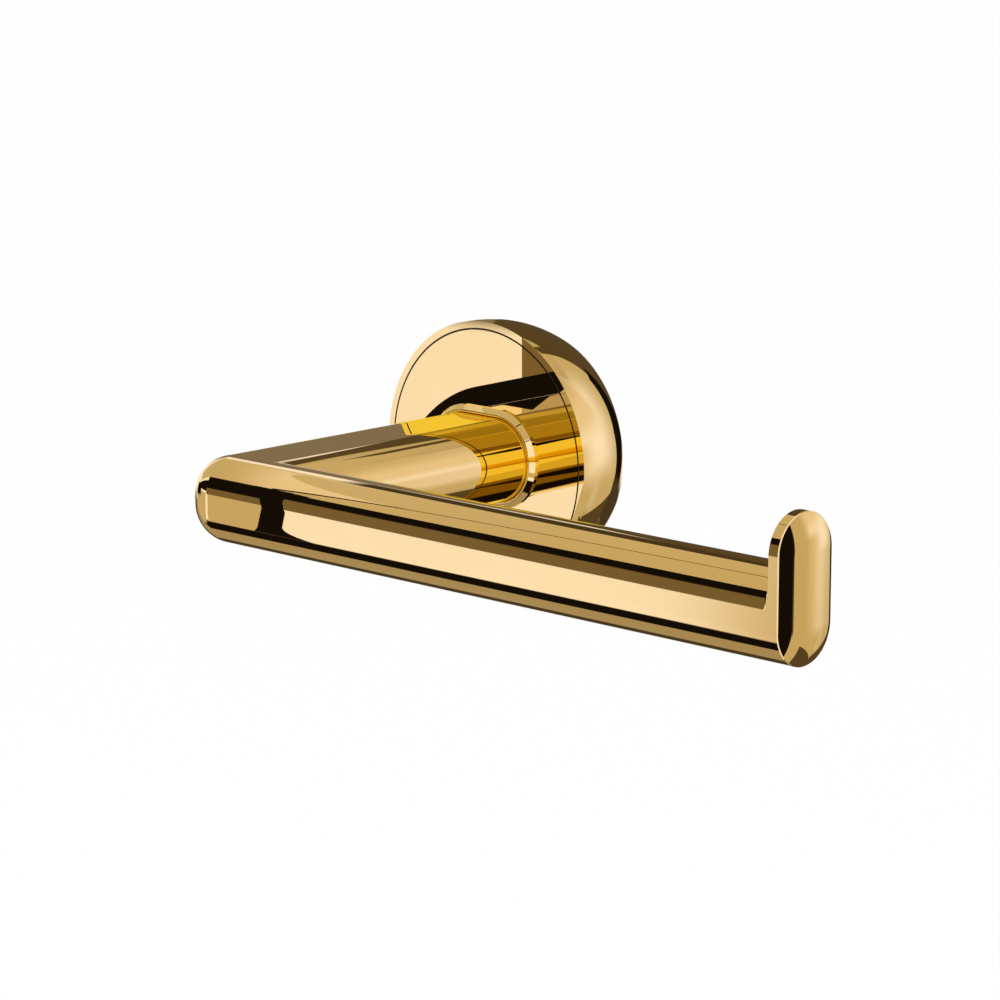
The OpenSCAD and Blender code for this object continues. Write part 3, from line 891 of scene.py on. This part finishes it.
def hang_rib():
    """The rib, the sand boards under it and over it, and the ivory board on the side of the corner, which
    fades both ways along x. The upper sand board's edge falls as exp(-x / length) until it meets the
    rib."""
    x = np.linspace(HOOP_X, RIB_END, BOARD_CELLS + 1)[:, None]
    turn = rib_turn(x) + np.array(RIB_WIDTH)
    hang("rib", near_black, hoop_point(x, turn))
    under = np.hstack([np.full_like(x, RIB_FOOT), rib_turn(x)])
    hang("rib_sand", sand, hoop_point(x, under, 1))
    x = np.linspace(LENS_X, RIB_END, 2 * BOARD_CELLS + 1)[:, None]
    edge = np.maximum(rib_turn(x), LENS_LOW + LENS_DROP * np.exp((LENS_X - x) / LENS_LENGTH))
    over = np.hstack([edge, np.full_like(edge, LENS_TOP)])
    hang("lens_sand", sand, hoop_point(x, over, 1), LENS_COVER)
    turn = np.linspace(*NOSE_TURN, BOARD_CELLS + 1)[:, None]
    x = np.linspace(*NOSE_X, BOARD_CELLS + 1)
    fade_in, fade_out = (eased((x - start) / width) for start, width in (NOSE_IN, NOSE_OUT))
    cover = fade_in * (1 - fade_out) * eased((turn - turn[0]) / NOSE_RISE)
    hang("nose_ivory", ivory, hoop_point(x, turn, 2), cover)


def hang_nose_sand():
    """The even tone left of the hoop and below the level of the arm's axis."""
    turn = np.linspace(*LOW_TURN, BOARD_CELLS + 1)[:, None]
    hang("nose_sand", sand, hoop_point(np.array(LOW_X), turn, 1))


# Beside the corner, small upright boards for the rosette's face alone, in millimetres.
FACE_BOARD_Y = -58.5                      # the plane of the one nearest to it; the others are behind it
FLAG_X, FLAG_LENGTH = -62, 50             # the black board's left end and its length
FLAG_FOOT, FLAG_LIFT = -26, 14            # its lower edge: start, and how far that bends up
FLAG_START, FLAG_CREST, FLAG_RISE = -6.8, 6.2, 13.2   # its upper edge: start, rounded rise, straight rise
FLAG_ROUND, FLAG_POWER = 0.35, 0.85       # how much of the length the round takes, and its fullness
BROWN_X, BROWN_LENGTH, BROWN_TOP = -30.2, 18.2, 22    # the brown board's left end, length and top
WEDGE_X, WEDGE_LENGTH = -23.6, 12         # the sand wedge's left end and its length
WEDGE_TIP, WEDGE_LOW, WEDGE_HIGH = 1.7, 1.5, 8.5      # its pointed end, and how far both edges rise
LAST_X, LAST_LENGTH, LAST_FOOT = -50, 34, 7           # the last board's left end, length and foot
LAST_TOP, LAST_BEND, LAST_FALL = 17.1, -26.4, 0.71    # its level top, the x where that ends, and the fall


def hang_flat(name, tone, steps, across, low, high):
    """A flat upright board, some steps behind the nearest, between two edges given as heights over x."""
    y = FACE_BOARD_Y - steps * BOARD_STEP / MM
    rows = [np.stack(np.broadcast_arrays(across, y, edge), axis=-1) * MM for edge in (low, high)]
    hang(name, tone, np.stack(rows))


def hang_face_boards():
    """Boards that only the rosette's face looks at: a black one whose upper edge rises in a round and then
    a straight slope, a brown one above it, and a sand wedge at its end. The last is black too, and seen
    only by way of both the post's top and the face: its edge is level, then falls."""
    share = np.linspace(0, 1, BOARD_CELLS + 1)
    brown_x = BROWN_X + BROWN_LENGTH * share
    slope = FLAG_START + FLAG_CREST + FLAG_RISE * (brown_x - FLAG_X) / FLAG_LENGTH
    hang_flat("face_brown", face_umber, 2, brown_x, slope, BROWN_TOP)
    crest = (1 - (1 - np.clip(share / FLAG_ROUND, 0, 1)) ** 2) ** FLAG_POWER
    upper = FLAG_START + FLAG_CREST * crest + FLAG_RISE * share
    hang_flat("face_flag", face_black, 1, FLAG_X + FLAG_LENGTH * share,
              FLAG_FOOT + FLAG_LIFT * share ** 2, upper)
    hang_flat("face_sand", face_sand, 0, WEDGE_X + WEDGE_LENGTH * share,
              WEDGE_TIP + WEDGE_LOW * share, WEDGE_TIP + WEDGE_HIGH * share)
    last_x = LAST_X + LAST_LENGTH * share
    upper = LAST_TOP - LAST_FALL * np.maximum(last_x - LAST_BEND, 0)
    hang_flat("face_post_flag", inner_flag, 1, last_x, LAST_FOOT, upper)


hang_hoop()
hang_rib()
hang_nose_sand()
hang_face_boards()

FLOOR_HALF = 30.0                         # half the floor's side
WHITE_SHARE = 0.97                        # of the floor as camera and mirrors see it


def sees_background(tree):
    """1 for camera, glossy and transmission rays, else 0."""
    path = add(tree, "ShaderNodeLightPath")
    total = path.outputs["Is Camera Ray"]
    for ray in ("Is Glossy Ray", "Is Transmission Ray"):
        total = add(tree, "ShaderNodeMath", [(0, total), (1, path.outputs[ray])],
                    operation="MAXIMUM").outputs[0]
    return total


floor_mesh = bpy.data.meshes.new("floor")
floor_mesh.from_pydata([(x * FLOOR_HALF, y * FLOOR_HALF, -FLOOR_DROP)
                        for x, y in ((-1, -1), (1, -1), (1, 1), (-1, 1))], [], [(0, 1, 2, 3)])
linked("floor", floor_mesh)
floor_finish, tree = new_material("pale_studio_floor")
share = add(tree, "ShaderNodeMath", [(0, sees_background(tree))], operation="MULTIPLY")
share.inputs[1].default_value = WHITE_SHARE
shader = add(tree, "ShaderNodeMixShader", [
    (0, share.outputs[0]),
    (1, add(tree, "ShaderNodeBsdfDiffuse", Color=linear("#F2F1EE")).outputs[0]),
    (2, add(tree, "ShaderNodeEmission", Color=linear("#FFFFFF")).outputs[0]),
])
add(tree, "ShaderNodeOutputMaterial", [("Surface", shader.outputs[0])])
floor_mesh.materials.append(floor_finish)

world = bpy.data.worlds.new("studio")
bpy.context.scene.world = world
world.use_nodes = True
tree = world.node_tree
tree.nodes.clear()
strength = add(tree, "ShaderNodeMapRange", [("Value", sees_background(tree))], To_Min=0.8, To_Max=1.0)
background = add(tree, "ShaderNodeBackground", [("Strength", strength.outputs[0])], Color=linear("#FFFFFF"))
add(tree, "ShaderNodeOutputWorld", [("Surface", background.outputs[0])])


def soft_lamp(name, place, size, watts):
    """A square soft lamp that faces the holder. Mirrors see the boards instead of it."""
    lamp = linked(name, bpy.data.lights.new(name, "AREA"))
    lamp.data.size = size
    lamp.data.energy = watts
    lamp.location = place
    lamp.rotation_euler = (Vector(TENT_MID) - Vector(place)).to_track_quat("-Z", "Y").to_euler()
    lamp.visible_glossy = False


soft_lamp("key_lamp", (1.2, -1.4, 1.6), 1.2, 45)
soft_lamp("fill_lamp", (-1.6, -1.0, 1.0), 1.2, 20)

bpy.context.scene.view_settings.view_transform = "Standard"
